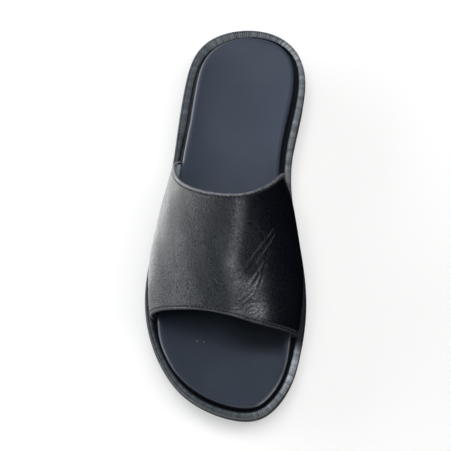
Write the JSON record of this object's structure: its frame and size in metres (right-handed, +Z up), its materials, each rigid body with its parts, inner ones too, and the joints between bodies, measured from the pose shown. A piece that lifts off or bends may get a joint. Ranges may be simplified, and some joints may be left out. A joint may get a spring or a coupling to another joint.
{
  "type": "palm slipper",
  "caption": "Backless open-toe palm slipper for the right foot: a wide leather band over a cushioned footbed, on a ribbed welt and a rubber sole.",
  "frame": {"origin": "on the floor plane, under the middle of the slipper's box", "axes": "-Y points to the toe and +Y to the heel, +X to the big-toe side, +Z up"},
  "size_m": [0.1128, 0.288, 0.0847],
  "materials": {
    "sole_rubber": "moulded black rubber, matt",
    "welt_rubber": "ribbed black rubber strip, satin",
    "footbed_leather": "smooth blue-black lining leather, satin",
    "upper_leather": "black full-grain leather, fine pebble grain, semi-gloss"
  },
  "bodies": {
    "root": {"outsole": "sole_rubber", "welt": "welt_rubber", "footbed": "footbed_leather", "upper": "upper_leather"}
  },
  "joints": []
}
